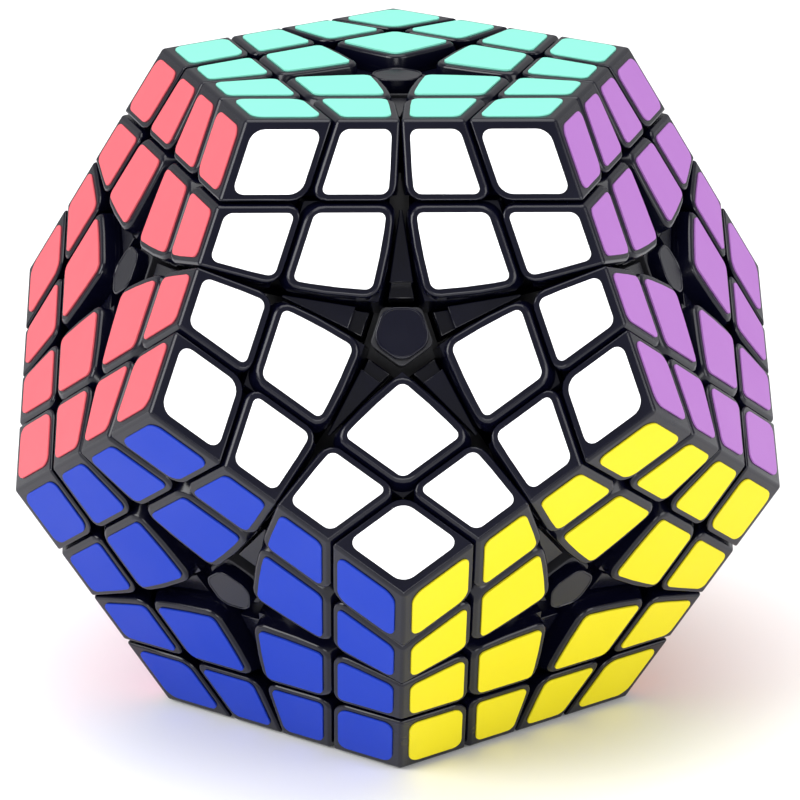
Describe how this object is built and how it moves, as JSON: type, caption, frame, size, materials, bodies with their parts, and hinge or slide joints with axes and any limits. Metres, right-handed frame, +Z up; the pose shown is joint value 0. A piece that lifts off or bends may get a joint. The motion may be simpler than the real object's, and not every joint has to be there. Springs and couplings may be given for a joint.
{
  "type": "dodecahedron twisty puzzle",
  "caption": "Dodecahedron twisty puzzle of black plastic pieces with coloured stickers; every face has layers that turn about its own axis.",
  "frame": {"origin": "on the ground, under the centre of the puzzle, which stands on one face", "axes": "+Z up, along the axis of the face it stands on; -Y towards the white face at the front, with an edge of the upper face facing it"},
  "size_m": [0.0994, 0.1046, 0.085],
  "materials": {
    "black_plastic": "satin",
    "core_plastic": "satin",
    "steel": "satin",
    "sticker_vinyl": "satin"
  },
  "bodies": {
    "base": {"core": "core_plastic", "tension_screws": "steel", "springs": "steel", "washers": "steel", "base_corners": "black_plastic", "base_wings": "black_plastic", "base_centres": "black_plastic", "base_blocks": "black_plastic", "base_sliders": "core_plastic", "base_hubs": "core_plastic", "base_caps": "black_plastic", "base_stickers": "sticker_vinyl"},
    "teal_outer": {"teal_corners": "black_plastic", "teal_wings": "black_plastic", "teal_centres": "black_plastic", "teal_blocks": "black_plastic", "teal_sliders": "core_plastic", "teal_hub": "core_plastic", "teal_cap": "black_plastic", "teal_stickers": "sticker_vinyl"},
    "teal_ring": {"teal_ring_wings": "black_plastic", "teal_ring_centres": "black_plastic", "teal_ring_blocks": "black_plastic", "teal_ring_stickers": "sticker_vinyl"},
    "yellow_outer": {"yellow_corners": "black_plastic", "yellow_wings": "black_plastic", "yellow_centres": "black_plastic", "yellow_blocks": "black_plastic", "yellow_sliders": "core_plastic", "yellow_hub": "core_plastic", "yellow_cap": "black_plastic", "yellow_stickers": "sticker_vinyl"},
    "yellow_ring": {"yellow_ring_wings": "black_plastic", "yellow_ring_centres": "black_plastic", "yellow_ring_blocks": "black_plastic", "yellow_ring_stickers": "sticker_vinyl"},
    "pink_outer": {"pink_corners": "black_plastic", "pink_wings": "black_plastic", "pink_centres": "black_plastic", "pink_blocks": "black_plastic", "pink_sliders": "core_plastic", "pink_hub": "core_plastic", "pink_cap": "black_plastic", "pink_stickers": "sticker_vinyl"},
    "pink_ring": {"pink_ring_wings": "black_plastic", "pink_ring_centres": "black_plastic", "pink_ring_blocks": "black_plastic", "pink_ring_stickers": "sticker_vinyl"}
  },
  "joints": [
    {"name": "teal_turn", "type": "hinge", "parent": "base", "child": "teal_outer", "pos_m": [0, 0, 0.04251], "axis": [0, 0, 1], "continuous": true},
    {"name": "teal_ring_turn", "type": "hinge", "parent": "base", "child": "teal_ring", "pos_m": [0, 0, 0.04251], "axis": [0, 0, 1], "continuous": true},
    {"name": "yellow_turn", "type": "hinge", "parent": "base", "child": "yellow_outer", "pos_m": [0, 0, 0.04251], "axis": [0.5257, -0.7236, -0.4472], "continuous": true},
    {"name": "yellow_ring_turn", "type": "hinge", "parent": "base", "child": "yellow_ring", "pos_m": [0, 0, 0.04251], "axis": [0.5257, -0.7236, -0.4472], "continuous": true},
    {"name": "pink_turn", "type": "hinge", "parent": "base", "child": "pink_outer", "pos_m": [0, 0, 0.04251], "axis": [-0.8507, 0.2764, -0.4472], "continuous": true},
    {"name": "pink_ring_turn", "type": "hinge", "parent": "base", "child": "pink_ring", "pos_m": [0, 0, 0.04251], "axis": [-0.8507, 0.2764, -0.4472], "continuous": true}
  ]
}
